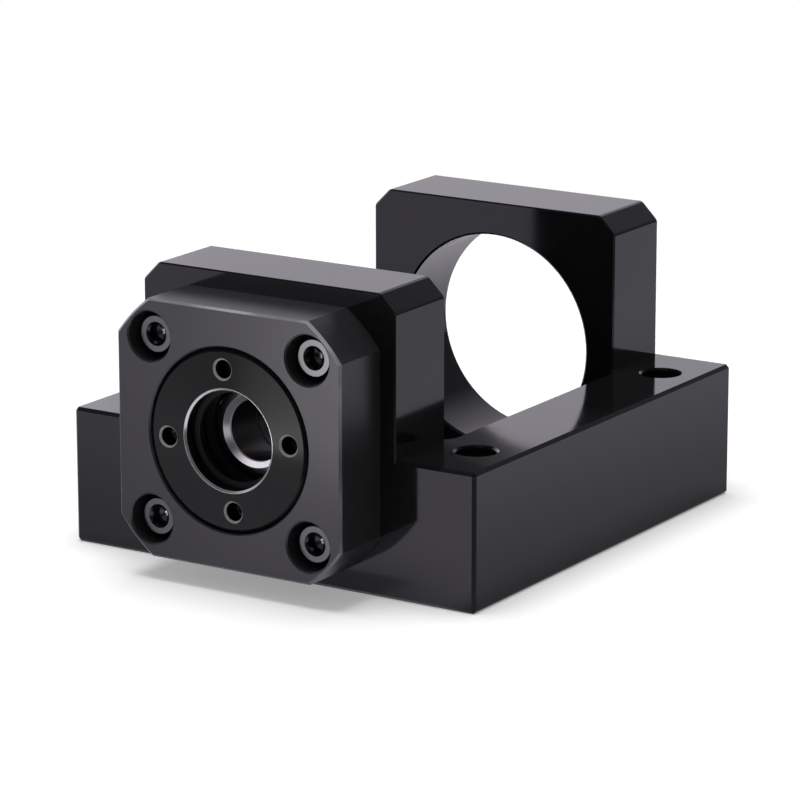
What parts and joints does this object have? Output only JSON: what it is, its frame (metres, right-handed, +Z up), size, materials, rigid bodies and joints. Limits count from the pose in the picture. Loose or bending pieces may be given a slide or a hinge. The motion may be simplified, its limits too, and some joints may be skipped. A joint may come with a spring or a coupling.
{
  "type": "motor bracket",
  "caption": "Machined bracket that holds a ball screw's end in a flanged bearing unit and carries the motor on a second wall, in line with it.",
  "frame": {"origin": "middle of the four base bolt holes, on the underside", "axes": "+Y along the screw axis from the bearing flange to the motor, +Z up, +X to the right seen from the bearing flange"},
  "size_m": [0.0768, 0.0942, 0.0491],
  "materials": {
    "black_block": "gloss",
    "black_housing": "gloss",
    "black_ring": "gloss",
    "black_screws": "satin",
    "bearing_steel": "polished",
    "cage_polyamide": "satin",
    "seal_rubber": "satin"
  },
  "bodies": {
    "bracket": {"bracket_body": "black_block", "bearing_housing": "black_housing", "flange_screws": "black_screws", "retaining_ring": "black_ring", "front_seal": "seal_rubber", "rear_seal": "seal_rubber", "front_outer_ring": "bearing_steel", "rear_outer_ring": "bearing_steel"},
    "inner_rings": {"front_inner_ring": "bearing_steel", "rear_inner_ring": "bearing_steel"},
    "front_cage_and_balls": {"front_cage": "cage_polyamide", "front_balls": "bearing_steel"},
    "rear_cage_and_balls": {"rear_cage": "cage_polyamide", "rear_balls": "bearing_steel"}
  },
  "joints": [
    {"name": "shaft_spin", "type": "hinge", "parent": "bracket", "child": "inner_rings", "pos_m": [0, -0.03735, 0.025], "axis": [0, 1, 0], "continuous": true},
    {"name": "front_cage_spin", "type": "hinge", "parent": "bracket", "child": "front_cage_and_balls", "pos_m": [0, -0.04135, 0.025], "axis": [0, 1, 0], "continuous": true},
    {"name": "rear_cage_spin", "type": "hinge", "parent": "bracket", "child": "rear_cage_and_balls", "pos_m": [0, -0.03335, 0.025], "axis": [0, 1, 0], "continuous": true}
  ],
  "couplings": [
    {"joint": "front_cage_spin", "follows": "shaft_spin", "ratio": 0.38544},
    {"joint": "rear_cage_spin", "follows": "shaft_spin", "ratio": 0.38544}
  ]
}
